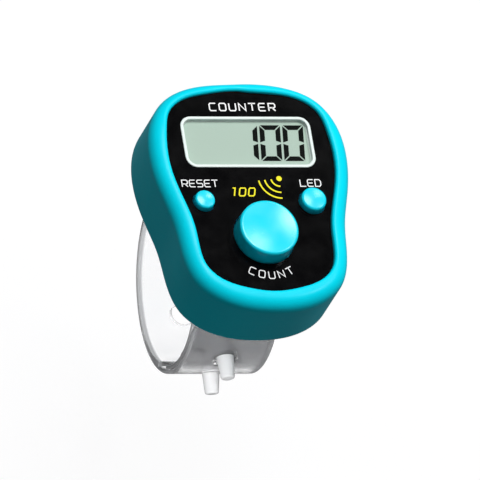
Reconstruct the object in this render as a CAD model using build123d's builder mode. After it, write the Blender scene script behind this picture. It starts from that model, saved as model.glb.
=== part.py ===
from build123d import *
import os
from math import cos, radians, sin

# Finger-worn electronic tally counter, in millimetres.
#
# A pear-shaped case carries a face panel, a five-digit display and three push keys. A silicone
# strap under it closes round a finger: a short tab with two pegs, and a long arm with holes.
#
# Frame: the origin is the centre of the finger loop. X is the loop's axis, +Y points to the
# display end of the case and +Z points out of the display. Angles round the loop are measured
# in the YZ plane, from +Y towards +Z.

os.makedirs("parts", exist_ok=True)


# ---- Driving dimensions ---------------------------------------------------------------------

# Case outline: its right half, from the display end down to the strap end.
CASE_HALF = [
    (0, 18.6), (7.0, 17.95), (11.2, 15.9), (13.5, 12.6), (14.45, 7.0), (13.75, 1.8),
    (12.5, -3.4), (12.0, -8.2), (10.5, -12.8), (6.2, -16.0), (0, -17.0),
]
# Face panel outline: its right half.
PANEL_HALF = [
    (0, 17.05), (5.1, 16.6), (8.7, 15.65), (10.8, 13.9), (11.75, 11.0), (12.15, 7.3),
    (11.85, 3.5), (10.9, -0.25), (10.05, -4.0), (9.8, -7.8), (9.25, -10.3), (7.5, -12.3),
    (4.1, -13.7), (0, -14.3),
]

OUTLINE_STATIONS = 64     # points that an inset or outset copy of an outline passes through

# Heights through the case.
CASE_BACK = 13.5
COVER_TOP = 15.0
BOARD_LOW = 18.4
BOARD_TOP = 19.2
FLANGE_LOW = 20.6
FLANGE_TOP = 21.2
WALL_UNDER = 21.3
PANEL_BED = 23.0
PANEL_TOP = 23.6
CASE_CREST = 24.35

# Case.
WALL = 1.4
RIM_ROUND = 2.0
RIM_INNER_ROUND = 0.45
BACK_ROUND = 1.0
PLAY = 0.06
BOSS_R = 1.25
SCREW_R, SCREW_HEAD_R, SCREW_HEAD_T = 0.55, 1.1, 0.75
SCREW_PLAY = 0.04
CROSS_LENGTH, CROSS_WIDTH, CROSS_DEPTH = 1.4, 0.32, 0.4
SCREW_SINK = 0.05
CASE_PILOT_TOP, BOARD_PILOT_TOP = 20.3, 21.7
CASE_SCREWS = [(-5.8, 15.3), (5.8, 15.3), (-8.6, -10.6), (8.6, -10.6)]
BOARD_SCREWS = [(-7.6, -5.6), (7.6, -5.6)]

# Display.
DISPLAY_Y = 9.16
WINDOW_W, WINDOW_H, WINDOW_ROUND = 18.2, 7.06, 1.2
BEZEL_BORDER = 0.45
BEZEL_LIP = 0.1
BEZEL_ROUND = 0.12
LCD_W = 20.0
LCD_LOW_Y, LCD_HIGH_Y = 4.4, 13.9
LCD_LEDGE = 1.2
GLASS_T = 0.55
GLASS_PLAY = 0.1
FILM_T = 0.15
GUIDE_T = 1.2
HOLDER_WALL = 0.9

# Push keys: centre, stem radius, crown height, flange radius, travel.
KEY_PLAY = 0.2
COUNT_AT, COUNT_R, COUNT_TOP, COUNT_FLANGE = (0, -5.5), 4.25, 26.2, 5.1
RESET_AT, RESET_R, RESET_TOP, RESET_FLANGE = (-8.0, -0.2), 1.42, 24.5, 2.1
LED_AT, LED_R, LED_TOP, LED_FLANGE = (7.9, -0.2), 1.8, 24.7, 2.5
COUNT_TRAVEL, SMALL_TRAVEL = 0.8, 0.6
SHEET_T = 0.3
DOME_T = 0.3
COUNT_DOME_R, SMALL_DOME_R = 4.6, 2.2
COUNT_PILL_R, SMALL_PILL_R = 1.8, 0.8

# Battery and buzzer.
CELL_AT, CELL_R = (0, 9.0), 5.8
CELL_LOW, CELL_TOP = 15.15, 18.2
NEST_IN, NEST_OUT, NEST_TOP = 5.95, 6.6, 17.4
CLIP_T, CLIP_HALF_W = 0.15, 1.5
BUZZER_AT, BUZZER_R, CERAMIC_R, DISC_T = (0, -9.5), 5.0, 3.5, 0.2

# Strap.
LOOP_R = 12.1
STRAP_T = 1.2
STRAP_W = 12.5
LAP_T = 0.57                         # each strap end is thinned to this where they overlap
PAD_START, PAD_END = 62, 118
TAB_SHOULDER, TAB_END = 139, 220
ARM_HINGE, END_HINGE = 62, 258
TIP, ARM_SHOULDER = 142, 224
HINGE_GAP = 0.08
TIP_ROUND = 3.0
PEG_R, PEG_TIP_R, PEG_LENGTH = 1.24, 1.0, 4.1
PEG_ROOT_R = 12.1                    # radius at which each peg's axis crosses its own angle
PEG_TIP_ROUND = 0.3
PEGS = {204.3: 198, 174: 186}        # angle round the loop: angle the peg points along
HOLE_R = 1.6
SPARE_END_HOLES, SPARE_ARM_HOLES = [238.5], [273.5, 308]
STUDS = [(-4.0, 0), (4.0, 0)]
STUD_R, STUD_HEAD_R, STUD_HEAD_T = 1.2, 1.6, 1.0


# ---- Helpers --------------------------------------------------------------------------------

def save(piece, name):
    """Label a finished piece and write it as its own STEP file."""
    piece.part.label = name
    export_step(piece.part, f"parts/{name}.step")


def pear(half, grow=0.0):
    """Draw a smooth closed outline from its right half; grow moves it outwards all round."""
    left_half = [(-x, y) for x, y in half[-2:0:-1]]
    with BuildLine() as outline:
        edge = Spline(half + left_half, periodic=True)
    if grow:
        stations = [number / OUTLINE_STATIONS for number in range(OUTLINE_STATIONS)]
        outward = [(edge % station).rotate(Axis.Z, 90) * grow for station in stations]
        with BuildLine() as outline:
            Spline([edge @ station + step for station, step in zip(stations, outward)], periodic=True)
    make_face(outline.edges())


def slab(width, height, low, top, centre=(0, 0), rounding=0.0, mode=Mode.ADD):
    """Flat rectangular plate between two heights."""
    with BuildSketch(Plane.XY.offset(low)) as outline:
        with Locations(centre):
            if rounding:
                RectangleRounded(width, height, rounding)
            else:
                Rectangle(width, height)
    extrude(outline.sketch, amount=top - low, mode=mode)


def discs(radius, low, top, centres, mode=Mode.ADD):
    """Upright round posts, discs or holes at each centre."""
    with BuildSketch(Plane.XY.offset(low)) as outline:
        with Locations(*centres):
            Circle(radius)
    extrude(outline.sketch, amount=top - low, mode=mode)


def ring(outer, inner, low, top, centre):
    """Upright round wall."""
    with BuildSketch(Plane.XY.offset(low)) as outline:
        with Locations(centre):
            Circle(outer)
            Circle(inner, mode=Mode.SUBTRACT)
    extrude(outline.sketch, amount=top - low)


def screws(centres, head_low, tip):
    """Cross-recessed pan-head screws, driven upwards."""
    discs(SCREW_HEAD_R, head_low, head_low + SCREW_HEAD_T, centres)
    discs(SCREW_R, head_low + SCREW_HEAD_T, tip, centres)
    with BuildSketch(Plane.XY.offset(head_low)) as cross:
        with Locations(*centres):
            Rectangle(CROSS_LENGTH, CROSS_WIDTH)
            Rectangle(CROSS_WIDTH, CROSS_LENGTH)
    extrude(cross.sketch, amount=CROSS_DEPTH, mode=Mode.SUBTRACT)


def upright_plane(centre):
    """Plane through an upright axis: local x is the radius, local y is the height."""
    return Plane(origin=(*centre, 0), x_dir=(1, 0, 0), z_dir=(0, -1, 0))


def key_cap(centre, radius, top, flange, crown, edge):
    """Turned key: a stem with a retaining flange and a crowned (or dished) finger face."""
    with BuildSketch(upright_plane(centre)) as profile:
        with BuildLine():
            Polyline((0, top + crown), (0, FLANGE_LOW), (flange, FLANGE_LOW), (flange, FLANGE_TOP),
                     (radius, FLANGE_TOP), (radius, top - edge))
            TangentArc((radius - edge, top), (radius, top - edge), tangent=(1, 0))
            TangentArc((0, top + crown), (radius - edge, top), tangent=(1, 0))
        make_face()
    revolve(profile.sketch, axis=Axis((*centre, 0), (0, 0, 1)))


def rubber_dome(centre, base, crown):
    """Thin conical spring: a sloping skirt from the keypad sheet up to a flat top."""
    low = BOARD_TOP + SHEET_T
    with BuildSketch(upright_plane(centre)) as profile:
        with BuildLine():
            Polyline((0, FLANGE_LOW), (crown, FLANGE_LOW), (base, low), (base - 0.45, low),
                     (crown - 0.3, FLANGE_LOW - DOME_T), (0, FLANGE_LOW - DOME_T), close=True)
        make_face()
    revolve(profile.sketch, axis=Axis((*centre, 0), (0, 0, 1)))


def polar(radius, angle):
    """Point in the loop's own plane."""
    return (radius * cos(radians(angle)), radius * sin(radians(angle)))


def around(angle):
    """Direction of growing angle at a point of the loop."""
    return (-sin(radians(angle)), cos(radians(angle)))


def round_end(angle):
    """Full-round strap end that bulges towards growing angles."""
    middle = Vector(*polar(LOOP_R + STRAP_T / 2, angle)) + Vector(*around(angle)) * (STRAP_T / 2)
    ThreePointArc(polar(LOOP_R, angle), middle, polar(LOOP_R + STRAP_T, angle))


def hinge_socket(angle):
    """Hollow that the neighbouring round end turns in."""
    with Locations(polar(LOOP_R + STRAP_T / 2, angle)):
        Circle(STRAP_T / 2 + HINGE_GAP, mode=Mode.SUBTRACT)


def strap_holes(places):
    """Through holes across the strap, each along its own direction."""
    for angle, direction in places.items():
        aim = Vector(0, *polar(1, direction))
        with Locations(Plane(origin=Vector(0, *polar(PEG_ROOT_R, angle)) - aim, z_dir=aim)):
            Cylinder(HOLE_R, 5, align=(Align.CENTER, Align.CENTER, Align.MIN), mode=Mode.SUBTRACT)


# ---- Case -----------------------------------------------------------------------------------

def is_rim_inner(edge):
    """The edge where the panel's recess meets the crest of the rim."""
    return edge.center().Z > PANEL_TOP and edge.length > 50 and edge.bounding_box().size.X < 25



bezel_w = WINDOW_W + 2 * BEZEL_BORDER
bezel_h = WINDOW_H + 2 * BEZEL_BORDER
bezel_round = WINDOW_ROUND + BEZEL_BORDER
lcd_h = LCD_HIGH_Y - LCD_LOW_Y
lcd_y = (LCD_HIGH_Y + LCD_LOW_Y) / 2
keys = [(COUNT_AT, COUNT_R), (RESET_AT, RESET_R), (LED_AT, LED_R)]

with BuildPart() as front_shell:
    with BuildSketch(Plane.XY.offset(CASE_BACK)):
        pear(CASE_HALF)
    extrude(amount=CASE_CREST - CASE_BACK)
    fillet(front_shell.edges().group_by(Axis.Z)[-1], radius=RIM_ROUND)
    fillet(front_shell.edges().group_by(Axis.Z)[0], radius=BACK_ROUND)
    with BuildSketch(Plane.XY.offset(PANEL_BED)):
        pear(PANEL_HALF)
    extrude(amount=CASE_CREST - PANEL_BED + 1, mode=Mode.SUBTRACT)
    fillet(front_shell.edges().filter_by(is_rim_inner), radius=RIM_INNER_ROUND)
    with BuildSketch(Plane.XY.offset(CASE_BACK)):
        pear(CASE_HALF, grow=-WALL)
    extrude(amount=WALL_UNDER - CASE_BACK, mode=Mode.SUBTRACT)
    # Bosses for the case screws reach down to the back cover; the board's stop on the board.
    pilot_r = SCREW_R + SCREW_PLAY
    discs(BOSS_R, COVER_TOP + PLAY, WALL_UNDER, CASE_SCREWS)
    discs(pilot_r, COVER_TOP, CASE_PILOT_TOP, CASE_SCREWS, mode=Mode.SUBTRACT)
    discs(BOSS_R, BOARD_TOP, WALL_UNDER, BOARD_SCREWS)
    discs(pilot_r, BOARD_TOP, BOARD_PILOT_TOP, BOARD_SCREWS, mode=Mode.SUBTRACT)
    # Openings: the display glass nests in the front wall, and the keys pass through it.
    slab(LCD_W + 2 * GLASS_PLAY, lcd_h + 2 * GLASS_PLAY, WALL_UNDER, PANEL_BED, centre=(0, lcd_y),
         mode=Mode.SUBTRACT)
    for centre, radius in keys:
        discs(radius + KEY_PLAY, WALL_UNDER, PANEL_BED, [centre], mode=Mode.SUBTRACT)
save(front_shell, "front_shell")

with BuildPart() as back_cover:
    with BuildSketch(Plane.XY.offset(CASE_BACK)):
        pear(CASE_HALF, grow=-(WALL + PLAY))
    extrude(amount=COVER_TOP - CASE_BACK)
    # Nest for the button cell, open where the positive contact climbs to the board.
    ring(NEST_OUT, NEST_IN, COVER_TOP, NEST_TOP, CELL_AT)
    slab(2 * CLIP_HALF_W + 1.0, 3, COVER_TOP, NEST_TOP, centre=(0, CELL_AT[1] + NEST_OUT),
         mode=Mode.SUBTRACT)
    with Locations(Plane.XY.offset(CASE_BACK).rotated((180, 0, 0))):
        with Locations(*[(x, -y) for x, y in CASE_SCREWS]):
            CounterBoreHole(radius=SCREW_R + 0.15, counter_bore_radius=SCREW_HEAD_R + 0.1,
                            counter_bore_depth=SCREW_HEAD_T + SCREW_SINK)
    discs(STUD_R + 0.05, CASE_BACK, COVER_TOP, STUDS, mode=Mode.SUBTRACT)
    # Sound holes under the buzzer.
    with BuildSketch(Plane.XY.offset(CASE_BACK)):
        with Locations(BUZZER_AT):
            with PolarLocations(1.6, 5):
                Circle(0.4)
    extrude(amount=COVER_TOP - CASE_BACK, mode=Mode.SUBTRACT)
save(back_cover, "back_cover")

with BuildPart() as face_panel:
    with BuildSketch(Plane.XY.offset(PANEL_BED)):
        pear(PANEL_HALF, grow=-PLAY)
    extrude(amount=PANEL_TOP - PANEL_BED)
    slab(bezel_w + PLAY, bezel_h + PLAY, PANEL_BED, PANEL_TOP, centre=(0, DISPLAY_Y),
         rounding=bezel_round, mode=Mode.SUBTRACT)
    for centre, radius in keys:
        discs(radius + KEY_PLAY, PANEL_BED, PANEL_TOP, [centre], mode=Mode.SUBTRACT)
save(face_panel, "face_panel")

with BuildPart() as back_screws:
    screws(CASE_SCREWS, CASE_BACK + SCREW_SINK, CASE_PILOT_TOP - 0.5)
save(back_screws, "back_screws")

with BuildPart() as board_screws:
    screws(BOARD_SCREWS, BOARD_LOW - SCREW_HEAD_T, BOARD_PILOT_TOP - 0.2)
save(board_screws, "board_screws")


# ---- Display --------------------------------------------------------------------------------

lens_low = PANEL_BED + 0.1
lens_top = PANEL_TOP - 0.15
bezel_top = PANEL_TOP + 0.05
glass_top = PANEL_BED - FILM_T
glass_mid = glass_top - GLASS_T
glass_low = glass_mid - GLASS_T
film_low = glass_low - FILM_T
guide_low = film_low - GUIDE_T
ledge_y = lcd_y + LCD_LEDGE / 2

with BuildPart() as lcd_bezel:
    slab(bezel_w, bezel_h, PANEL_BED, bezel_top, centre=(0, DISPLAY_Y), rounding=bezel_round)
    slab(WINDOW_W, WINDOW_H, lens_low, bezel_top, centre=(0, DISPLAY_Y), rounding=WINDOW_ROUND,
         mode=Mode.SUBTRACT)
    slab(WINDOW_W - 2 * BEZEL_LIP, WINDOW_H - 2 * BEZEL_LIP, PANEL_BED, lens_low,
         centre=(0, DISPLAY_Y), rounding=WINDOW_ROUND - BEZEL_LIP, mode=Mode.SUBTRACT)
    fillet(lcd_bezel.edges().group_by(Axis.Z)[-1], radius=BEZEL_ROUND)
save(lcd_bezel, "lcd_bezel")

with BuildPart() as lcd_window:
    slab(WINDOW_W - 0.04, WINDOW_H - 0.04, lens_low, lens_top, centre=(0, DISPLAY_Y),
         rounding=WINDOW_ROUND)
save(lcd_window, "lcd_window")

with BuildPart() as lcd_polariser:
    slab(WINDOW_W + 0.6, WINDOW_H + 0.6, glass_top, PANEL_BED, centre=(0, DISPLAY_Y))
save(lcd_polariser, "lcd_polariser")

with BuildPart() as lcd_front_glass:
    slab(LCD_W, lcd_h, glass_mid, glass_top, centre=(0, lcd_y))
save(lcd_front_glass, "lcd_front_glass")

with BuildPart() as lcd_rear_glass:
    slab(LCD_W, lcd_h - LCD_LEDGE, glass_low, glass_mid, centre=(0, ledge_y))
save(lcd_rear_glass, "lcd_rear_glass")

with BuildPart() as lcd_reflector:
    slab(LCD_W - 0.8, lcd_h - LCD_LEDGE - 0.4, film_low, glass_low, centre=(0, ledge_y))
save(lcd_reflector, "lcd_reflector")

with BuildPart() as backlight_guide:
    slab(LCD_W - 0.8, lcd_h - LCD_LEDGE - 0.2, guide_low, film_low, centre=(0, ledge_y))
save(backlight_guide, "backlight_guide")

with BuildPart() as lcd_holder:
    slab(LCD_W - 0.8, lcd_h - LCD_LEDGE - 0.2, BOARD_TOP, guide_low, centre=(0, ledge_y))
    slab(LCD_W - 0.8 - 2 * HOLDER_WALL, lcd_h - LCD_LEDGE - 0.2 - 2 * HOLDER_WALL, BOARD_TOP,
         guide_low, centre=(0, ledge_y), mode=Mode.SUBTRACT)
save(lcd_holder, "lcd_holder")

with BuildPart() as backlight_lamp:
    slab(1.1, 1.6, BOARD_TOP, guide_low - 0.05, centre=(LCD_W / 2 - 2.5, DISPLAY_Y))
save(backlight_lamp, "backlight_lamp")

with BuildPart() as zebra_strip:
    slab(LCD_W - 1, LCD_LEDGE - 0.3, BOARD_TOP, glass_mid, centre=(0, LCD_LOW_Y + LCD_LEDGE / 2))
save(zebra_strip, "zebra_strip")


# ---- Circuit board --------------------------------------------------------------------------

with BuildPart() as circuit_board:
    with BuildSketch(Plane.XY.offset(BOARD_LOW)):
        pear(CASE_HALF, grow=-(WALL + 0.4))
        with Locations(*CASE_SCREWS):
            Circle(BOSS_R + 0.25, mode=Mode.SUBTRACT)
        with Locations(*BOARD_SCREWS):
            Circle(SCREW_R + 0.1, mode=Mode.SUBTRACT)
    extrude(amount=BOARD_TOP - BOARD_LOW)
save(circuit_board, "circuit_board")

with BuildPart() as chip_blob:
    with BuildSketch(upright_plane((0, -7.5))):
        with BuildLine():
            TangentArc((0, BOARD_LOW - 1.0), (3.0, BOARD_LOW), tangent=(1, 0))
            Polyline((3.0, BOARD_LOW), (0, BOARD_LOW), (0, BOARD_LOW - 1.0))
        make_face()
    revolve(axis=Axis((0, -7.5, 0), (0, 0, 1)))
save(chip_blob, "chip_blob")

with BuildPart() as resistors:
    for side in (-1, 1):
        slab(1.6, 0.8, BOARD_LOW - 0.5, BOARD_LOW, centre=(side * 8.0, -2.0))
save(resistors, "resistors")

with BuildPart() as capacitors:
    for side in (-1, 1):
        slab(2.0, 1.25, BOARD_LOW - 0.9, BOARD_LOW, centre=(side * 8.4, 2.0))
save(capacitors, "capacitors")


# ---- Keys -----------------------------------------------------------------------------------

with BuildPart() as count_button:
    key_cap(COUNT_AT, COUNT_R, COUNT_TOP, COUNT_FLANGE, crown=-0.3, edge=0.4)
    # Hollow between the outer wall and the centre post.
    with BuildSketch(Plane.XY.offset(FLANGE_LOW)):
        with Locations(COUNT_AT):
            Circle(COUNT_R - 0.9)
            Circle(2.5, mode=Mode.SUBTRACT)
    extrude(amount=COUNT_TOP - 1.2 - FLANGE_LOW, mode=Mode.SUBTRACT)
save(count_button, "count_button")

with BuildPart() as reset_button:
    key_cap(RESET_AT, RESET_R, RESET_TOP, RESET_FLANGE, crown=0.1, edge=0.35)
save(reset_button, "reset_button")

with BuildPart() as led_button:
    key_cap(LED_AT, LED_R, LED_TOP, LED_FLANGE, crown=0.12, edge=0.4)
save(led_button, "led_button")

with BuildPart() as keypad_sheet:
    with BuildSketch(Plane.XY.offset(BOARD_TOP)):
        pear(CASE_HALF, grow=-(WALL + 0.8))
        with Locations((0, -4.4)):
            Rectangle(30, 15.6, mode=Mode.INTERSECT)
        with Locations(*CASE_SCREWS):
            Circle(BOSS_R + 0.3, mode=Mode.SUBTRACT)
        with Locations(*BOARD_SCREWS):
            Circle(BOSS_R + 0.3, mode=Mode.SUBTRACT)
        with Locations(COUNT_AT):
            Circle(COUNT_DOME_R - 0.4, mode=Mode.SUBTRACT)
        with Locations(RESET_AT, LED_AT):
            Circle(SMALL_DOME_R - 0.4, mode=Mode.SUBTRACT)
    extrude(amount=SHEET_T)
save(keypad_sheet, "keypad_sheet")

with BuildPart() as count_dome:
    rubber_dome(COUNT_AT, COUNT_DOME_R, crown=2.7)
save(count_dome, "count_dome")

with BuildPart() as reset_dome:
    rubber_dome(RESET_AT, SMALL_DOME_R, crown=1.2)
save(reset_dome, "reset_dome")

with BuildPart() as led_dome:
    rubber_dome(LED_AT, SMALL_DOME_R, crown=1.2)
save(led_dome, "led_dome")

pill_top = FLANGE_LOW - DOME_T

with BuildPart() as count_pill:
    discs(COUNT_PILL_R, BOARD_TOP + COUNT_TRAVEL, pill_top, [COUNT_AT])
save(count_pill, "count_pill")

with BuildPart() as reset_pill:
    discs(SMALL_PILL_R, BOARD_TOP + SMALL_TRAVEL, pill_top, [RESET_AT])
save(reset_pill, "reset_pill")

with BuildPart() as led_pill:
    discs(SMALL_PILL_R, BOARD_TOP + SMALL_TRAVEL, pill_top, [LED_AT])
save(led_pill, "led_pill")


# ---- Battery and buzzer ---------------------------------------------------------------------

with BuildPart() as battery_cell:
    discs(CELL_R, CELL_LOW, CELL_TOP - 0.5, [CELL_AT])
    fillet(battery_cell.edges().filter_by(GeomType.CIRCLE), radius=0.25)
    discs(CELL_R - 1.1, CELL_TOP - 0.6, CELL_TOP, [CELL_AT])
    chamfer(battery_cell.edges().group_by(Axis.Z)[-1], length=0.15)
save(battery_cell, "battery_cell")

with BuildPart() as battery_positive_clip:
    clip_y = CELL_AT[1] + CELL_R + 0.15
    slab(2 * CLIP_HALF_W, 8.0, COVER_TOP, COVER_TOP + CLIP_T, centre=(0, clip_y + CLIP_T - 4.0))
    slab(2 * CLIP_HALF_W, CLIP_T, COVER_TOP, BOARD_LOW, centre=(0, clip_y + CLIP_T / 2))
save(battery_positive_clip, "battery_positive_clip")

with BuildPart() as battery_negative_spring:
    with BuildSketch(Plane.XY.offset(CELL_TOP)):
        with Locations(CELL_AT):
            Circle(1.2)
            with PolarLocations(1.9, 3, start_angle=90):
                Rectangle(2.6, 0.9)
    extrude(amount=BOARD_LOW - CELL_TOP)
save(battery_negative_spring, "battery_negative_spring")

with BuildPart() as buzzer_plate:
    discs(BUZZER_R, COVER_TOP, COVER_TOP + DISC_T, [BUZZER_AT])
save(buzzer_plate, "buzzer_plate")

with BuildPart() as buzzer_ceramic:
    discs(CERAMIC_R, COVER_TOP + DISC_T, COVER_TOP + 2 * DISC_T, [BUZZER_AT])
save(buzzer_ceramic, "buzzer_ceramic")


# ---- Strap ----------------------------------------------------------------------------------

OUTER_R = LOOP_R + STRAP_T
TAB_R = LOOP_R + LAP_T
LAP_R = OUTER_R - LAP_T

with BuildPart() as strap_base:
    pad_half = CASE_BACK / sin(radians(PAD_START)) * cos(radians(PAD_START))
    with BuildSketch(Plane.YZ):
        with BuildLine():
            CenterArc((0, 0), LOOP_R, PAD_START, TAB_END - PAD_START)
            Line(polar(LOOP_R, TAB_END), polar(TAB_R, TAB_END))
            CenterArc((0, 0), TAB_R, TAB_SHOULDER, TAB_END - TAB_SHOULDER)
            Line(polar(TAB_R, TAB_SHOULDER), polar(OUTER_R, TAB_SHOULDER))
            CenterArc((0, 0), OUTER_R, PAD_END + 4, TAB_SHOULDER - PAD_END - 4)
            Polyline(polar(OUTER_R, PAD_END + 4), (-pad_half, CASE_BACK), (pad_half, CASE_BACK),
                     polar(LOOP_R, PAD_START))
        make_face()
        hinge_socket(ARM_HINGE)
    extrude(amount=STRAP_W / 2, both=True)
    tab_corners = strap_base.edges().filter_by(
        lambda edge: abs(edge.length - LAP_T) < 0.01 and edge.center().Z < 0)
    fillet(tab_corners, radius=TIP_ROUND)
    # Pegs that button through the long arm.
    for angle, direction in PEGS.items():
        root = Plane(origin=(0, *polar(PEG_ROOT_R, angle)), z_dir=(0, *polar(1, direction)))
        with Locations(root):
            Cone(PEG_R, PEG_TIP_R, PEG_LENGTH, align=(Align.CENTER, Align.CENTER, Align.MIN))
    peg_tips = strap_base.edges().filter_by(
        lambda edge: edge.geom_type == GeomType.CIRCLE and abs(edge.radius - PEG_TIP_R) < 0.01)
    fillet(peg_tips, radius=PEG_TIP_ROUND)
    Cylinder(LOOP_R, STRAP_W, rotation=(0, 90, 0), mode=Mode.SUBTRACT)
    # Mushroom studs that hold the pad to the back cover.
    discs(STUD_R, CASE_BACK - 0.4, COVER_TOP, STUDS)
    for x, y in STUDS:
        with Locations((x, y, COVER_TOP)):
            Cone(STUD_HEAD_R, STUD_R - 0.1, STUD_HEAD_T,
                 align=(Align.CENTER, Align.CENTER, Align.MIN))
save(strap_base, "strap_base")

with BuildPart() as strap_arm:
    with BuildSketch(Plane.YZ):
        sweep_angle = 360 + ARM_HINGE - END_HINGE
        with BuildLine():
            CenterArc((0, 0), LOOP_R, END_HINGE, sweep_angle)
            round_end(ARM_HINGE)
            CenterArc((0, 0), OUTER_R, END_HINGE, sweep_angle)
            Line(polar(LOOP_R, END_HINGE), polar(OUTER_R, END_HINGE))
        make_face()
        hinge_socket(END_HINGE)
    extrude(amount=STRAP_W / 2, both=True)
    strap_holes({angle: angle for angle in SPARE_ARM_HOLES})
save(strap_arm, "strap_arm")

with BuildPart() as strap_end:
    with BuildSketch(Plane.YZ):
        with BuildLine():
            CenterArc((0, 0), LAP_R, TIP, ARM_SHOULDER - TIP)
            Line(polar(LAP_R, ARM_SHOULDER), polar(LOOP_R, ARM_SHOULDER))
            CenterArc((0, 0), LOOP_R, ARM_SHOULDER, END_HINGE - ARM_SHOULDER)
            round_end(END_HINGE)
            CenterArc((0, 0), OUTER_R, TIP, END_HINGE - TIP)
            Line(polar(LAP_R, TIP), polar(OUTER_R, TIP))
        make_face()
    extrude(amount=STRAP_W / 2, both=True)
    tip_corners = strap_end.edges().filter_by(
        lambda edge: abs(edge.length - LAP_T) < 0.01 and edge.center().Z > 0)
    fillet(tip_corners, radius=TIP_ROUND)
    strap_holes(PEGS)
    strap_holes({angle: angle for angle in SPARE_END_HOLES})
save(strap_end, "strap_end")
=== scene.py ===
# Looks of the finger tally counter: materials, silicone strap, printed panel, display digits,
# light and camera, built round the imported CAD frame. Dimensions are in millimetres and are turned
# into metres with MM where points are made; lights and the camera are placed in metres.
from math import cos, pi, radians, sin, sqrt

import bmesh
import bpy
from mathutils import Matrix, Vector


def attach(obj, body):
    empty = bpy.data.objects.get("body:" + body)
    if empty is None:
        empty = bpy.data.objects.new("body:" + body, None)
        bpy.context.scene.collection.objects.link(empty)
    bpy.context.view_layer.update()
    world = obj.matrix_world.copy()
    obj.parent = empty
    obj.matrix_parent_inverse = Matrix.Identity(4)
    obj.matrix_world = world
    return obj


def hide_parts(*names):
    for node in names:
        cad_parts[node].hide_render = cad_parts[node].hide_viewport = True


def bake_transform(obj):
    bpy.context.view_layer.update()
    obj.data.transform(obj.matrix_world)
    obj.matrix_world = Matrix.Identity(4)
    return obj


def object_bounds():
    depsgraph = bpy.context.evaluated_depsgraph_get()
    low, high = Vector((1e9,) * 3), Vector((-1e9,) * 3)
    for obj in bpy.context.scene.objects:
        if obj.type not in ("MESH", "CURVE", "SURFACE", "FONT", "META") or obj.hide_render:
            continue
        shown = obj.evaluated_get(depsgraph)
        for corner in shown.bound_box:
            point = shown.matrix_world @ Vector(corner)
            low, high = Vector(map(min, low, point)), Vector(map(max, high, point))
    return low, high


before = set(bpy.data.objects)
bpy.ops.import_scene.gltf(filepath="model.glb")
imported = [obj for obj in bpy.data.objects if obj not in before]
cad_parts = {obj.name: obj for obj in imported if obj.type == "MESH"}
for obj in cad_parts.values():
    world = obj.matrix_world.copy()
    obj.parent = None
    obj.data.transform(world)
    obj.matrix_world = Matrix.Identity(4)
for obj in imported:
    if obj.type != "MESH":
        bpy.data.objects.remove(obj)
cad_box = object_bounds()
MM = 0.001

# Driving dimensions; angles go round the loop from +Y towards +Z, in degrees.
LOOP_R = 12.1
STRAP_T = 1.2
STRAP_W = 12.5
LAP_T = 0.57
OUTER_R = LOOP_R + STRAP_T
CASE_BACK = 13.5
PANEL_TOP = 23.6
FILM_TOP = 23.0
DISPLAY_Y = 9.28
COUNT_Y = -5.5


# ---- Materials ------------------------------------------------------------------------------

class Shader:
    """A material with a Principled shader and short calls for its procedural nodes."""

    def __init__(self, name, **values):
        self.material = bpy.data.materials.new(name)
        self.material.use_nodes = True
        self.tree = self.material.node_tree
        self.principled = self.tree.nodes["Principled BSDF"]
        for socket, value in values.items():
            self.principled.inputs[socket.replace("_", " ")].default_value = value
        self.place = self.tree.nodes.new("ShaderNodeTexCoord").outputs["Object"]

    def node(self, kind, **settings):
        made = self.tree.nodes.new(kind)
        for key, value in settings.items():
            setattr(made, key, value)
        return made

    def link(self, source, target):
        self.tree.links.new(source, target)

    def noise(self, scale, detail=3.0, roughness=0.55):
        made = self.node("ShaderNodeTexNoise")
        made.inputs["Scale"].default_value = scale
        made.inputs["Detail"].default_value = detail
        made.inputs["Roughness"].default_value = roughness
        self.link(self.place, made.inputs["Vector"])
        return made.outputs["Fac"]

    def remap(self, value, low, high, start=0.3, end=0.7):
        made = self.node("ShaderNodeMapRange")
        made.inputs["From Min"].default_value = start
        made.inputs["From Max"].default_value = end
        made.inputs["To Min"].default_value = low
        made.inputs["To Max"].default_value = high
        self.link(value, made.inputs["Value"])
        return made.outputs["Result"]

    def mix(self, factor, first, second):
        made = self.node("ShaderNodeMix", data_type="RGBA")
        self.link(factor, made.inputs[0])
        for socket, colour in ((made.inputs[6], first), (made.inputs[7], second)):
            if isinstance(colour, tuple):
                socket.default_value = colour
            else:
                self.link(colour, socket)
        return made.outputs[2]

    def mix_values(self, factor, first, second):
        made = self.node("ShaderNodeMix", data_type="FLOAT")
        self.link(factor, made.inputs[0])
        self.link(first, made.inputs[2])
        made.inputs[3].default_value = second
        return made.outputs[0]

    def colour(self, first, second, scale, detail=4.0):
        """Drifts between two colours in soft patches."""
        shade = self.mix(self.remap(self.noise(scale, detail), 0.0, 1.0), first, second)
        self.link(shade, self.principled.inputs["Base Color"])
        return shade

    def roughness(self, scale, low, high, detail=3.0):
        self.link(self.remap(self.noise(scale, detail), low, high), self.principled.inputs["Roughness"])

    def bump(self, layers):
        """Layers of (height source, strength, distance), coarse first."""
        normal = None
        for height, strength, distance in layers:
            made = self.node("ShaderNodeBump")
            made.inputs["Strength"].default_value = strength
            made.inputs["Distance"].default_value = distance
            self.link(height, made.inputs["Height"])
            if normal:
                self.link(normal, made.inputs["Normal"])
            normal = made.outputs["Normal"]
        self.link(normal, self.principled.inputs["Normal"])


def rgb(red, green, blue):
    """Linear colour from 0-255 display values."""
    def linear(value):
        share = value / 255
        return share / 12.92 if share <= 0.04045 else ((share + 0.055) / 1.055) ** 2.4
    return (linear(red), linear(green), linear(blue), 1.0)


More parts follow.
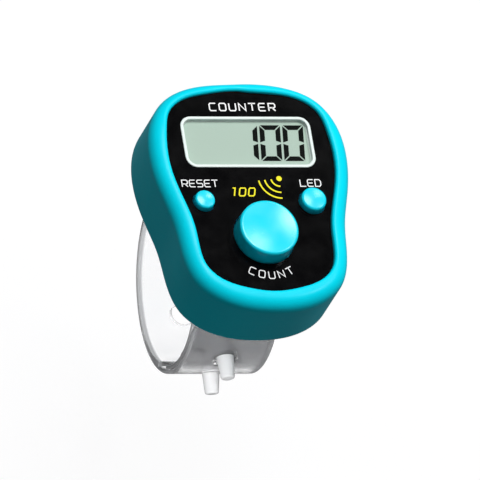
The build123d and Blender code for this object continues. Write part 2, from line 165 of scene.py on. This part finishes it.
def moulded_plastic(name, base, worn, gloss, shine=0.3):
    """Injection-moulded plastic: slight colour drift, uneven gloss and a fine texture."""
    made = Shader(name, IOR=1.46, Specular_IOR_Level=shine)
    made.colour(base, worn, 160)
    made.roughness(420, gloss, gloss + 0.08, detail=5)
    made.bump([(made.noise(260, 2), 0.10, 0.00001), (made.noise(9000, 2), 0.2, 0.000001)])
    return made.material


def metal(name, base, worn, rough):
    """Plated or rolled metal with fine scratches and duller patches."""
    made = Shader(name, Metallic=1.0)
    stretch = made.node("ShaderNodeMapping")
    stretch.inputs["Scale"].default_value = (1.0, 14.0, 1.0)
    made.link(made.place, stretch.inputs["Vector"])
    streak = made.node("ShaderNodeTexNoise")
    streak.inputs["Scale"].default_value = 1400
    streak.inputs["Detail"].default_value = 3.0
    made.link(stretch.outputs["Vector"], streak.inputs["Vector"])
    made.colour(base, worn, 500)
    made.roughness(700, rough, rough + 0.15)
    made.bump([(streak.outputs["Fac"], 0.2, 0.000003)])
    return made.material


def rubber(name, base, worn):
    """Matte rubber with a dusty, slightly pitted surface."""
    made = Shader(name, IOR=1.42)
    made.colour(base, worn, 600)
    made.roughness(800, 0.6, 0.8)
    made.bump([(made.noise(5000, 3), 0.3, 0.000004)])
    return made.material


def clear_plastic(name, tint, worn, rough, alpha):
    """Thin clear part: mostly see-through, with a faint tint and gloss."""
    made = Shader(name, IOR=1.49, Alpha=alpha)
    made.colour(tint, worn, 300, detail=2)
    made.roughness(500, rough, rough + 0.04)
    made.bump([(made.noise(400, 2), 0.05, 0.000004)])
    return made.material


EDGE_GREY = rgb(176, 177, 179)         # the strap's moulded edges
EDGE_START, EDGE_END = 0.0056, 0.0059  # where they begin, in metres from its middle line
PAINTED_SHADE_FULL, PAINTED_SHADE_GONE = -0.004, 0.006  # the painted shade on the strap's front fades out between these, in metres along Y


def silicone(name, base, worn, clear, hazy_edge, painted_shade=None):
    """Silicone with a satin skin, faint haze clouds, and greyer moulded edges along its sides.

    clear and hazy_edge are the shares of light let through by its face and by its edges. The last
    argument, if given, is the (colour, share) of painted shade greying its front under the case.
    """
    made = Shader(name, IOR=1.25, Specular_IOR_Level=0.4)
    shade = made.colour(base, worn, 180)
    split = made.node("ShaderNodeSeparateXYZ")
    made.link(made.place, split.inputs["Vector"])
    side = made.node("ShaderNodeMath", operation="ABSOLUTE")
    made.link(split.outputs["X"], side.inputs[0])
    dull = made.remap(side.outputs["Value"], 0.0, 1.0, start=EDGE_START, end=EDGE_END)
    see_through = made.remap(made.noise(240, 4), clear - 0.01, clear + 0.01)
    # painted shade: the front under the case is greyed and lets less light through, standing in for the
    # case's shade
    if painted_shade:
        front = made.remap(split.outputs["Y"], 1.0, 0.0, start=PAINTED_SHADE_FULL, end=PAINTED_SHADE_GONE)
        shade = made.mix(front, shade, painted_shade[0])
        see_through = made.mix_values(front, see_through, painted_shade[1])
    made.link(made.mix(dull, shade, EDGE_GREY), made.principled.inputs["Base Color"])
    see_through = made.mix_values(dull, see_through, hazy_edge)
    made.link(see_through, made.principled.inputs["Transmission Weight"])
    made.roughness(380, 0.08, 0.14, detail=4)
    made.bump([(made.noise(220, 3), 0.10, 0.00002), (made.noise(7000, 2), 0.15, 0.000001)])
    return made.material


def display_film():
    """Grey-green reflective display ground with a fine reflector grain."""
    made = Shader("display_film", IOR=1.5, Specular_IOR_Level=0.2)
    made.colour(rgb(188, 211, 197), rgb(183, 205, 191), 9000, detail=3)
    made.roughness(3000, 0.5, 0.65)
    made.bump([(made.noise(12000, 2), 0.15, 0.000001)])
    return made.material


def board_mask():
    """Green solder mask over a faint pattern of copper tracks."""
    made = Shader("board_mask", IOR=1.5, Coat_Weight=0.3)
    tracks = made.node("ShaderNodeTexBrick")
    tracks.inputs["Scale"].default_value = 900
    tracks.inputs["Color1"].default_value = (0.03, 0.16, 0.07, 1)
    tracks.inputs["Color2"].default_value = (0.02, 0.12, 0.05, 1)
    tracks.inputs["Mortar"].default_value = (0.05, 0.24, 0.10, 1)
    made.link(made.place, tracks.inputs["Vector"])
    made.link(tracks.outputs["Color"], made.principled.inputs["Base Color"])
    made.roughness(600, 0.25, 0.4)
    made.bump([(tracks.outputs["Fac"], 0.3, 0.00001)])
    return made.material


def ink(name, base, worn, shine=0.25):
    """Screen-printed ink: nearly flat, slightly uneven."""
    made = Shader(name, IOR=1.45, Specular_IOR_Level=shine)
    made.colour(base, worn, 1500, detail=3)
    made.roughness(2500, 0.45, 0.6)
    made.bump([(made.noise(6000, 3), 0.2, 0.000002)])
    return made.material


turquoise = moulded_plastic("turquoise_plastic", rgb(0, 226, 248), rgb(0, 219, 242), 0.30, shine=0.14)
key_turquoise = moulded_plastic("turquoise_key", rgb(0, 224, 246), rgb(0, 218, 241), 0.2, shine=0.5)
panel_black = moulded_plastic("panel_black", rgb(2, 2, 3), rgb(4, 4, 5), 0.15, shine=0.06)
bezel_grey = moulded_plastic("bezel_grey", rgb(232, 242, 238), rgb(222, 233, 229), 0.35)
white_plastic = moulded_plastic("white_plastic", rgb(235, 235, 230), rgb(225, 225, 220), 0.4)
black_resin = moulded_plastic("black_resin", rgb(22, 22, 24), rgb(34, 34, 36), 0.5)
ceramic = moulded_plastic("ceramic", rgb(206, 188, 160), rgb(190, 170, 142), 0.55)
steel = metal("steel", (0.62, 0.62, 0.63, 1), (0.48, 0.48, 0.49, 1), 0.28)
nickel = metal("nickel", (0.70, 0.69, 0.66, 1), (0.56, 0.55, 0.52, 1), 0.2)
brass = metal("brass", (0.78, 0.57, 0.22, 1), (0.62, 0.43, 0.16, 1), 0.25)
grey_rubber = rubber("grey_rubber", rgb(150, 153, 155), rgb(138, 141, 143))
black_rubber = rubber("black_rubber", rgb(28, 28, 28), rgb(40, 40, 40))
lens_clear = clear_plastic("lens_clear", (0.03, 0.035, 0.032, 1.0), (0.02, 0.022, 0.02, 1.0), 0.06, 0.05)
glass_clear = clear_plastic("glass_clear", (0.88, 0.94, 0.91, 1.0), (0.85, 0.91, 0.88, 1.0), 0.05, 0.25)
seam_clear = clear_plastic("seam_clear", (0.98, 0.98, 0.98, 1.0), (0.96, 0.96, 0.96, 1.0), 0.05, 0.0)
film = display_film()
board = board_mask()
clear_silicone = silicone("silicone_clear", rgb(254, 254, 255), rgb(251, 252, 253), 0.98, 0.55)
# silicone with painted shade greying its front under the case, for the strap's root piece
painted_shade_silicone = silicone("silicone_painted_shade", rgb(254, 254, 255), rgb(251, 252, 253), 0.98, 0.55,
                          painted_shade=(rgb(140, 141, 143), 0.7))
milky_silicone = silicone("silicone_milky", rgb(252, 252, 253), rgb(248, 249, 250), 0.25, 0.25)
white_ink = ink("white_ink", rgb(252, 252, 252), rgb(240, 240, 240))
yellow_ink = ink("yellow_ink", rgb(250, 238, 20), rgb(240, 226, 14))
segment_ink = ink("segment_ink", rgb(5, 9, 8), rgb(10, 14, 12), shine=0.03)

NODE_LOOKS = {
    "front_shell": turquoise, "back_cover": turquoise, "face_panel": panel_black,
    "back_screws": steel, "board_screws": steel, "lcd_bezel": bezel_grey, "lcd_window": lens_clear,
    "lcd_polariser": film, "lcd_front_glass": glass_clear, "lcd_rear_glass": glass_clear,
    "lcd_reflector": film, "backlight_guide": glass_clear, "lcd_holder": white_plastic,
    "backlight_lamp": white_plastic, "zebra_strip": black_rubber, "circuit_board": board,
    "chip_blob": black_resin, "resistors": black_resin, "capacitors": ceramic,
    "count_button": key_turquoise, "reset_button": key_turquoise, "led_button": key_turquoise,
    "keypad_sheet": grey_rubber, "count_dome": grey_rubber, "reset_dome": grey_rubber,
    "led_dome": grey_rubber, "count_pill": black_rubber, "reset_pill": black_rubber,
    "led_pill": black_rubber, "battery_cell": nickel, "battery_positive_clip": nickel,
    "battery_negative_spring": nickel, "buzzer_plate": brass, "buzzer_ceramic": ceramic,
    "strap_base": painted_shade_silicone, "strap_arm": clear_silicone, "strap_end": clear_silicone,
}
for name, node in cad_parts.items():
    node.data.materials.clear()
    node.data.materials.append(NODE_LOOKS[name])


# ---- Strap ----------------------------------------------------------------------------------

SOFT_EDGE = 0.22               # rounding of the strap's long edges
TIP_ROUND = 3.0                # rounding of its free corners, seen from outside
SWEEP_STEP = 1.5               # degrees between sections round the loop
CORNER_STEPS, FACE_STEPS = 4, 12
PAD_START, PAD_END = 62, 118   # the pad fills the space up to the case between these
PAD_RAMP = 5                   # degrees over which the strap thickens to the pad
PAD_CLEAR = 0.01               # gap left below the case
SHOULDER_BEFORE, SHOULDER_AFTER = 0.5, 0.7   # degrees over which a half lap's shoulder drops
TAB_SHOULDER, TAB_END = 139, 220
ARM_SHOULDER, ARM_TIP = 224, 142
SEAM = 40                      # the root piece and the long band meet here, under the case
SEAM_GAP = 0.05                # degrees between their ends there
PEG_ROOT_R = 12.1
PEG_R, PEG_TIP_R, PEG_LENGTH, PEG_TIP_ROUND = 1.24, 1.0, 4.1, 0.32
PEGS = {204.3: 198, 174: 186}  # angle round the loop: angle the peg points along
HOLE_R = 1.6
SPARE_HOLES = [238.5, 273.5, 308]
STUDS = [(-4.0, 0.0), (4.0, 0.0)]
STUD_PROFILE = [(-0.3, 1.2), (1.5, 1.2), (1.5, 1.6), (2.5, 1.1)]
MEAN_R = LOOP_R + STRAP_T / 2
DEGREE = radians(1) * MEAN_R   # millimetres along the strap in one degree


def polar(radius, angle, x=0.0):
    """Point round the loop, in metres."""
    return Vector((x * MM, radius * cos(radians(angle)) * MM, radius * sin(radians(angle)) * MM))


def ease(value, start, end):
    """Smooth step from 0 at start to 1 at end."""
    share = min(max((value - start) / (end - start), 0.0), 1.0)
    return share * share * (3 - 2 * share)


def new_piece(name, mesh, material, smooth=40):
    """Object for a final mesh, shaded smooth up to an angle in degrees."""
    mesh.materials.clear()
    mesh.materials.append(material)
    item = bpy.data.objects.new(name, mesh)
    bpy.context.scene.collection.objects.link(item)
    mesh.shade_smooth()
    mesh.set_sharp_from_angle(angle=radians(smooth))
    return item


def strap_section(half_width, inner, outer):
    """Rounded rectangle across the strap, as (x, radius) points."""
    edge = min(SOFT_EDGE, 0.45 * (outer - inner))
    flat = half_width - edge
    corners = ((flat, outer - edge, 0), (-flat, outer - edge, 90),
               (-flat, inner + edge, 180), (flat, inner + edge, 270))
    points = []
    for x, radius, start in corners:
        for step in range(CORNER_STEPS + 1):
            turn = radians(start + 90 * step / CORNER_STEPS)
            points.append((x + edge * cos(turn), radius + edge * sin(turn)))
        if start in (0, 180):
            face = radius + edge * sin(radians(start + 90))
            points += [(x * (1 - 2 * step / FACE_STEPS), face) for step in range(1, FACE_STEPS)]
    return points


def strap_sweep(stations, shape):
    """Sweep the strap's section round the loop; shape(angle) gives half width, inner and outer."""
    body = bmesh.new()
    rings = []
    for angle in stations:
        section = strap_section(*shape(angle))
        rings.append([body.verts.new(polar(radius, angle, x)) for x, radius in section])
    for first, second in zip(rings, rings[1:]):
        for index in range(len(first)):
            after = (index + 1) % len(first)
            body.faces.new((first[index], first[after], second[after], second[index]))
    body.faces.new(rings[0])
    body.faces.new(rings[-1][::-1])
    bmesh.ops.recalc_face_normals(body, faces=body.faces)
    mesh = bpy.data.meshes.new("strap_sweep")
    body.to_mesh(mesh)
    body.free()
    return mesh


def tip_shape(distance, inner, outer):
    """Half width, inner and outer radius near a free end, by the distance from its tip."""
    half_width = STRAP_W / 2
    if distance < TIP_ROUND:
        half_width -= TIP_ROUND - sqrt(TIP_ROUND ** 2 - (TIP_ROUND - distance) ** 2)
    if distance < SOFT_EDGE:
        pinch = SOFT_EDGE - sqrt(SOFT_EDGE ** 2 - (SOFT_EDGE - distance) ** 2)
        inner, outer = inner + 0.9 * pinch, outer - 0.9 * pinch
    return half_width, inner, outer


def tip_stations(tip, towards):
    """Sections close together in a free end's corner rounding; towards is +1 or -1 into the strap."""
    depths = [SOFT_EDGE * (1 - cos(radians(90 * step / CORNER_STEPS))) for step in range(CORNER_STEPS)]
    depths += [TIP_ROUND * (1 - cos(radians(turn))) for turn in (22, 34, 45, 56, 67, 78, 90)]
    return [tip + towards * depth / DEGREE for depth in depths]


def shoulder_stations(shoulder):
    """Sections close together where a half lap's shoulder drops."""
    return [shoulder + 0.3 * step for step in range(-2, 3)]


def band_shape(angle):
    """Long arm and free end, thinned on its inside where it lies over the tab."""
    thinned = 1 - ease(angle, ARM_SHOULDER - SHOULDER_AFTER, ARM_SHOULDER + SHOULDER_BEFORE)
    inner = LOOP_R + (STRAP_T - LAP_T) * thinned
    return tip_shape((angle - ARM_TIP) * DEGREE, inner, OUTER_R)


def root_shape(angle):
    """Start of the long arm, pad under the case, and tab."""
    outer = OUTER_R
    if PAD_START - PAD_RAMP < angle < PAD_END + PAD_RAMP:
        pad = CASE_BACK / sin(radians(min(max(angle, PAD_START), PAD_END))) - PAD_CLEAR
        rise = ease(angle, PAD_START - PAD_RAMP, PAD_START)
        fall = 1 - ease(angle, PAD_END, PAD_END + PAD_RAMP)
        outer += (pad - OUTER_R) * min(rise, fall)
    outer -= (STRAP_T - LAP_T) * ease(angle, TAB_SHOULDER - SHOULDER_BEFORE, TAB_SHOULDER + SHOULDER_AFTER)
    return tip_shape((TAB_END - angle) * DEGREE, LOOP_R, outer)


def lathe(name, base, aim, profile, segments=48):
    """Closed round solid: profile is (distance along aim, radius) in millimetres."""
    body = bmesh.new()
    turn = aim.to_track_quat("Z", "Y")
    rings = []
    for along, radius in profile:
        ring = []
        for step in range(segments):
            angle = 2 * pi * step / segments
            local = Vector((radius * cos(angle), radius * sin(angle), along)) * MM
            ring.append(body.verts.new(base + turn @ local))
        rings.append(ring)
    for first, second in zip(rings, rings[1:]):
        for index in range(segments):
            after = (index + 1) % segments
            body.faces.new((first[index], first[after], second[after], second[index]))
    body.faces.new(rings[0][::-1])
    body.faces.new(rings[-1])
    mesh = bpy.data.meshes.new(name)
    body.to_mesh(mesh)
    body.free()
    return mesh


def combined(mesh, tools, operation):
    """Boolean of one mesh with several tool meshes."""
    work = bpy.data.objects.new("work", mesh)
    bpy.context.scene.collection.objects.link(work)
    helpers = []
    for tool in tools:
        helper = bpy.data.objects.new("tool", tool)
        bpy.context.scene.collection.objects.link(helper)
        cut = work.modifiers.new("cut", "BOOLEAN")
        cut.operation = operation
        cut.solver = "EXACT"
        cut.object = helper
        helpers.append(helper)
    shaped = bpy.data.meshes.new_from_object(work.evaluated_get(bpy.context.evaluated_depsgraph_get()))
    for item in helpers + [work]:
        bpy.data.objects.remove(item)
    return shaped


def hole_cutter(angle, direction, inner):
    """Round hole with softened rims, through the strap between the inner radius and its outside."""
    flare = 0.14
    low, high = inner - PEG_ROOT_R, OUTER_R - PEG_ROOT_R
    profile = [(low - 0.4, HOLE_R + 2 * flare), (low, HOLE_R + flare), (low + 0.06, HOLE_R + 0.04),
               (low + 0.2, HOLE_R), (high - 0.28, HOLE_R), (high - 0.16, HOLE_R + 0.04),
               (high - 0.08, HOLE_R + flare), (high + 0.4, HOLE_R + 3 * flare)]
    return lathe("hole", polar(PEG_ROOT_R, angle), polar(1, direction).normalized(), profile)


def peg(angle, direction):
    """Button peg: a soft flare at the root, a slight taper and a rounded tip."""
    profile = [(0.25, PEG_R + 0.24), (0.56, PEG_R + 0.24), (0.6, PEG_R + 0.12),
               (0.72, PEG_R + 0.03), (0.9, PEG_R)]
    for step in range(6):
        turn = radians(18 * step)
        profile.append((PEG_LENGTH - PEG_TIP_ROUND * (1 - sin(turn)),
                        PEG_TIP_R - PEG_TIP_ROUND * (1 - cos(turn))))
    return lathe("peg", polar(PEG_ROOT_R, angle), polar(1, direction).normalized(), profile)


def join_at_seam(piece):
    """Give a piece's end face at the seam a see-through look, so that the strap looks like one moulding."""
    piece.data.materials.append(seam_clear)
    along = Vector((0, -sin(radians(SEAM)), cos(radians(SEAM))))
    for face in piece.data.polygons:
        near = (face.center - polar(MEAN_R, SEAM)).length < STRAP_W * MM
        if near and abs(face.normal.dot(along)) > 0.99:
            face.material_index = len(piece.data.materials) - 1


def strap_band():
    """Long arm and free end in one translucent band that curves round the bottom of the loop."""
    tip = ARM_TIP - 360
    shoulder = ARM_SHOULDER - 360
    stations = [SEAM - SEAM_GAP - SWEEP_STEP * step for step in range(int((SEAM - tip) / SWEEP_STEP))]
    stations = [angle for angle in stations
                if abs(angle - shoulder) > 1 and (angle - tip) * DEGREE > TIP_ROUND + 0.2]
    stations += shoulder_stations(shoulder) + tip_stations(tip, 1)
    mesh = strap_sweep(sorted(stations, reverse=True), lambda angle: band_shape(angle + 360))
    cutters = [hole_cutter(angle, direction, OUTER_R - LAP_T) for angle, direction in PEGS.items()]
    cutters += [hole_cutter(angle, angle, LOOP_R) for angle in SPARE_HOLES]
    band = new_piece("silicone_band", combined(mesh, cutters, "DIFFERENCE"), clear_silicone)
    join_at_seam(band)
    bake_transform(band)
    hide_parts("strap_arm", "strap_end")
    return band


def strap_root():
    """Pad and tab, with the pegs, the mounting studs and the first stretch of the long arm."""
    stations = [SEAM + SWEEP_STEP * step for step in range(int((TAB_END - SEAM) / SWEEP_STEP))]
    stations = [angle for angle in stations
                if abs(angle - TAB_SHOULDER) > 1 and (TAB_END - angle) * DEGREE > TIP_ROUND + 0.2]
    stations += shoulder_stations(TAB_SHOULDER) + tip_stations(TAB_END, -1)
    mesh = strap_sweep(sorted(stations), root_shape)
    pegs = [peg(angle, direction) for angle, direction in PEGS.items()]
    studs = [lathe("stud", Vector((x * MM, y * MM, CASE_BACK * MM)), Vector((0, 0, 1)), STUD_PROFILE)
             for x, y in STUDS]
    # the root piece's front under the case carries painted shade from its material
    root = new_piece("silicone_root", combined(mesh, pegs + studs, "UNION"), painted_shade_silicone)
    root.data.materials.append(milky_silicone)
    for face in root.data.polygons:
        if face.center.yz.length > (OUTER_R + 0.03) * MM and face.center.z < 5 * MM:
            face.material_index = 1
    join_at_seam(root)
    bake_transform(root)
    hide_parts("strap_base")
    return root


strap_pieces = bpy.data.collections.new("strap_pieces")   # the fill light falls on these alone
strap_pieces.objects.link(strap_band())
strap_pieces.objects.link(strap_root())


# ---- Display digits and printing ------------------------------------------------------------

PRINT_T = 0.02
SEGMENT_ENDS = {               # display segments: start and end on a unit cell, x right, y up
    "top": ((0, 1), (1, 1)), "upper_right": ((1, 1), (1, 0.5)), "lower_right": ((1, 0.5), (1, 0)),
    "bottom": ((0, 0), (1, 0)), "lower_left": ((0, 0.5), (0, 0)), "upper_left": ((0, 1), (0, 0.5)),
}
DIGITS = {"0": list(SEGMENT_ENDS), "1": ["upper_right", "lower_right"]}
DIGIT_W, DIGIT_H, DIGIT_PITCH, DIGIT_SLANT = 3.05, 5.6, 3.38, 0.095
SEGMENT_W, SEGMENT_GAP, WAIST_MITRE = 0.72, 0.12, 0.35
LAST_DIGIT_X = 6.9

CUT = 0.16                     # corner cut of the squarish lettering, on a unit cell
LETTERS = {                    # strokes on a unit cell, x right, y up
    "R": [[(0, 0), (0, 1), (1 - CUT, 1), (1, 1 - CUT), (1, 0.55), (1 - CUT, 0.42), (0, 0.42)],
          [(0.5, 0.42), (1, 0)]],
    "E": [[(1, 1), (CUT, 1), (0, 1 - CUT), (0, CUT), (CUT, 0), (1, 0)], [(0, 0.5), (0.9, 0.5)]],
    "S": [[(1, 1), (CUT, 1), (0, 1 - CUT), (0, 0.62), (CUT, 0.5), (1 - CUT, 0.5), (1, 0.38), (1, CUT),
           (1 - CUT, 0), (0, 0)]],
    "T": [[(-0.05, 1), (1.05, 1)], [(0.5, 1), (0.5, 0)]],
    "L": [[(0, 1), (0, 0), (1, 0)]],
    "D": [[(0, 0), (0, 1), (1 - 1.5 * CUT, 1), (1, 1 - 1.5 * CUT), (1, 1.5 * CUT),
           (1 - 1.5 * CUT, 0), (0, 0)]],
    "C": [[(1, 1), (CUT, 1), (0, 1 - CUT), (0, CUT), (CUT, 0), (1, 0)]],
    "O": [[(0.5, 1), (CUT, 1), (0, 1 - CUT), (0, CUT), (CUT, 0), (1 - CUT, 0), (1, CUT), (1, 1 - CUT),
           (1 - CUT, 1), (0.5, 1)]],
    "U": [[(0, 1), (0, CUT), (CUT, 0), (1 - CUT, 0), (1, CUT), (1, 1)]],
    "N": [[(0, 0), (0, 1), (1, 0), (1, 1)]],
    "1": [[(0.35, 1), (0.75, 1), (0.75, 0)]],
}
LETTERS["0"] = LETTERS["O"]


def ribbon(points, width):
    """Quads of a mitred stroke of even width along a line of points; a loop ends where it starts."""
    points = [Vector(point) for point in points]
    loop = (points[0] - points[-1]).length < 1e-6
    ways = [(after - before).normalized() for before, after in zip(points, points[1:])]
    sides = []
    for index, point in enumerate(points):
        came = ways[index - 1] if index or loop else ways[0]
        goes = ways[index] if index < len(ways) else ways[0] if loop else came
        normal = Vector((-came.y - goes.y, came.x + goes.x)).normalized()
        reach = width / 2 / max(normal.dot(Vector((-came.y, came.x))), 0.5)
        sides.append((point + normal * reach, point - normal * reach))
    return [(first[0], first[1], second[1], second[0]) for first, second in zip(sides, sides[1:])]


def printed(name, faces, level, material):
    """Thin raised print on the case; faces are lists of (x, y) in millimetres."""
    body = bmesh.new()
    for face in faces:
        body.faces.new([body.verts.new((x * MM, y * MM, level * MM)) for x, y in face])
    bmesh.ops.remove_doubles(body, verts=body.verts, dist=1e-7)
    bmesh.ops.recalc_face_normals(body, faces=body.faces)
    raised = bmesh.ops.extrude_face_region(body, geom=list(body.faces), use_keep_orig=True)
    corners = [item for item in raised["geom"] if isinstance(item, bmesh.types.BMVert)]
    bmesh.ops.translate(body, verts=corners, vec=(0, 0, PRINT_T * MM))
    bmesh.ops.recalc_face_normals(body, faces=body.faces)
    mesh = bpy.data.meshes.new(name)
    body.to_mesh(mesh)
    body.free()
    item = new_piece(name, mesh, material, smooth=30)
    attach(item, "case")


def mitre(point):
    """Length of a segment's slanted end, shorter at the digit's waist."""
    at_waist = abs(point.y - DIGIT_H / 2) < 0.01
    return SEGMENT_W * (WAIST_MITRE if at_waist else 1)


def segment(start, end, origin):
    """Display segment between two points of a digit's cell, with mitred ends."""
    start = Vector((start[0] * DIGIT_W, start[1] * DIGIT_H))
    end = Vector((end[0] * DIGIT_W, end[1] * DIGIT_H))
    middle = Vector((DIGIT_W / 2, DIGIT_H / 2))
    along = (end - start).normalized()
    inward = Vector((-along.y, along.x))
    if inward.dot(middle - start) < 0:
        inward = -inward
    outline = [start + along * SEGMENT_GAP, end - along * SEGMENT_GAP,
               end - along * (SEGMENT_GAP + mitre(end)) + inward * SEGMENT_W,
               start + along * (SEGMENT_GAP + mitre(start)) + inward * SEGMENT_W]
    return [(origin[0] + point.x + DIGIT_SLANT * (point.y - DIGIT_H / 2), origin[1] + point.y)
            for point in outline]


def display_digits(text):
    """Count at the right of the display, its last digit nearest the edge."""
    faces = []
    for place, digit in enumerate(reversed(text)):
        left = LAST_DIGIT_X - place * DIGIT_PITCH - DIGIT_W / 2
        for name in DIGITS[digit]:
            faces.append(segment(*SEGMENT_ENDS[name], (left, DISPLAY_Y - DIGIT_H / 2)))
    printed("display_digits", faces, FILM_TOP + 0.015, segment_ink)


def lettering(text, centre, cap, letter_width, pitch, stroke, slant=0.0):
    """Straight line of squarish capitals."""
    faces = []
    for index, letter in enumerate(text):
        left = centre[0] + pitch * (index - (len(text) - 1) / 2) - letter_width / 2
        for line in LETTERS[letter]:
            points = [(left + x * letter_width + slant * (y - 0.5) * cap, centre[1] + (y - 0.5) * cap)
                      for x, y in line]
            faces += ribbon(points, stroke)
    return faces


def arc_lettering(text, centre, radius, cap, letter_width, pitch, stroke):
    """Capitals below a centre, on an arc, with their tops towards the centre."""
    faces = []
    for index, letter in enumerate(text):
        turn = (index - (len(text) - 1) / 2) * pitch / radius
        across = Vector((cos(turn), sin(turn)))
        up = Vector((-sin(turn), cos(turn)))
        middle = Vector(centre) - up * radius
        for line in LETTERS[letter]:
            faces += ribbon([middle + across * (x - 0.5) * letter_width + up * (y - 0.5) * cap
                             for x, y in line], stroke)
    return faces


def wave_mark(dot, dot_radius, radii, stroke):
    """A dot with quarter-circle waves below and to its left."""
    round_dot = [Vector(dot) + dot_radius * Vector((cos(2 * pi * step / 32), sin(2 * pi * step / 32)))
                 for step in range(32)]
    faces = [round_dot]
    for radius in radii:
        faces += ribbon([Vector(dot) + radius * Vector((cos(radians(angle)), sin(radians(angle))))
                         for angle in range(186, 271, 4)], stroke)
    return faces


display_digits("100")
printed("panel_lettering",
        lettering("COUNTER", (0.0, 14.62), 1.15, 0.95, 1.45, 0.18)
        + lettering("RESET", (-8.15, 2.62), 1.05, 0.82, 1.1, 0.14)
        + lettering("LED", (8.1, 2.72), 1.05, 0.82, 1.1, 0.14)
        + arc_lettering("COUNT", (0.1, COUNT_Y), 6.15, 1.08, 0.86, 1.42, 0.14),
        PANEL_TOP + 0.003, white_ink)
printed("panel_waves",
        lettering("100", (-2.1, 1.3), 1.22, 0.88, 1.36, 0.19, slant=0.24)
        + wave_mark((3.6, 3.4), 0.4, (1.2, 2.15, 3.05), 0.22),
        PANEL_TOP + 0.003, yellow_ink)


# ---- Camera, light and floor ----------------------------------------------------------------

FLOOR_DROP = 0.020             # the floor lies this far below the object, for the strap to open
CAMERA_DISTANCE = 1.855


def camera():
    """Very long lens, looking down at the face from its lower left."""
    back = Vector((-0.33, -0.4363, 0.837)).normalized()
    right = Vector((0.944, -0.1525, 0.2926))
    right = (right - back * right.dot(back)).normalized()
    up = back.cross(right)
    aim = (right * 4.38 + up * 5.42 + back * 10) * MM
    data = bpy.data.cameras.new("camera")
    data.lens = 1000
    data.sensor_width = 36
    data.clip_start = 0.01
    data.clip_end = 10
    item = bpy.data.objects.new("camera", data)
    turn = Matrix((right, up, back)).transposed().to_4x4()
    item.matrix_world = Matrix.Translation(aim + back * CAMERA_DISTANCE) @ turn
    bpy.context.scene.collection.objects.link(item)
    bpy.context.scene.camera = item


def area_light(name, place, aim, size, power, only=None):
    """Round soft light from place towards aim; only is a collection it is limited to."""
    data = bpy.data.lights.new(name, "AREA")
    data.shape = "DISK"
    data.size = size
    data.energy = power
    item = bpy.data.objects.new(name, data)
    item.location = place
    item.rotation_mode = "QUATERNION"
    item.rotation_quaternion = (Vector(place) - Vector(aim)).to_track_quat("Z", "Y")
    item.visible_camera = False
    item.light_linking.receiver_collection = only
    bpy.context.scene.collection.objects.link(item)


def floor():
    """White glowing sweep, low enough for the strap to open; it doesn't light the object."""
    made = Shader("white_sweep", IOR=1.4, Specular_IOR_Level=0.0, Emission_Strength=1.0)
    made.colour((0.05, 0.05, 0.05, 1), (0.045, 0.045, 0.045, 1), 6)
    glow = made.mix(made.remap(made.noise(5, 2), 0.0, 1.0), (0.97, 0.97, 0.97, 1), (0.95, 0.95, 0.955, 1))
    made.link(glow, made.principled.inputs["Emission Color"])
    made.roughness(40, 0.7, 0.8)
    mesh = bpy.data.meshes.new("floor")
    half, level = 1.5, cad_box[0].z - FLOOR_DROP
    corners = [(-half, -half, level), (half, -half, level), (half, half, level), (-half, half, level)]
    mesh.from_pydata(corners, [], [(0, 1, 2, 3)])
    mesh.materials.append(made.material)
    item = bpy.data.objects.new("floor", mesh)
    item.visible_diffuse = False
    item.visible_glossy = False
    bpy.context.scene.collection.objects.link(item)


camera()
area_light("key", (0.0, 0.19, 0.57), (0, 0, 0.01), 0.22, 2.6)
area_light("glint", (0.225, 0.04, 0.378), (0, 0, 0.02), 0.05, 0.45)
area_light("dish", (0.179, 0.219, 0.304), (0, -0.0055, 0.026), 0.07, 0.19)
area_light("strap_fill", (-0.18, -0.30, 0.27), (0, -0.014, 0), 0.1, 2.0, only=strap_pieces)
floor()
world = bpy.data.worlds.new("world")
world.use_nodes = True
world.node_tree.nodes["Background"].inputs["Color"].default_value = (1, 1, 1, 1)
world.node_tree.nodes["Background"].inputs["Strength"].default_value = 0.115
bpy.context.scene.world = world
bpy.context.scene.view_settings.view_transform = "Standard"
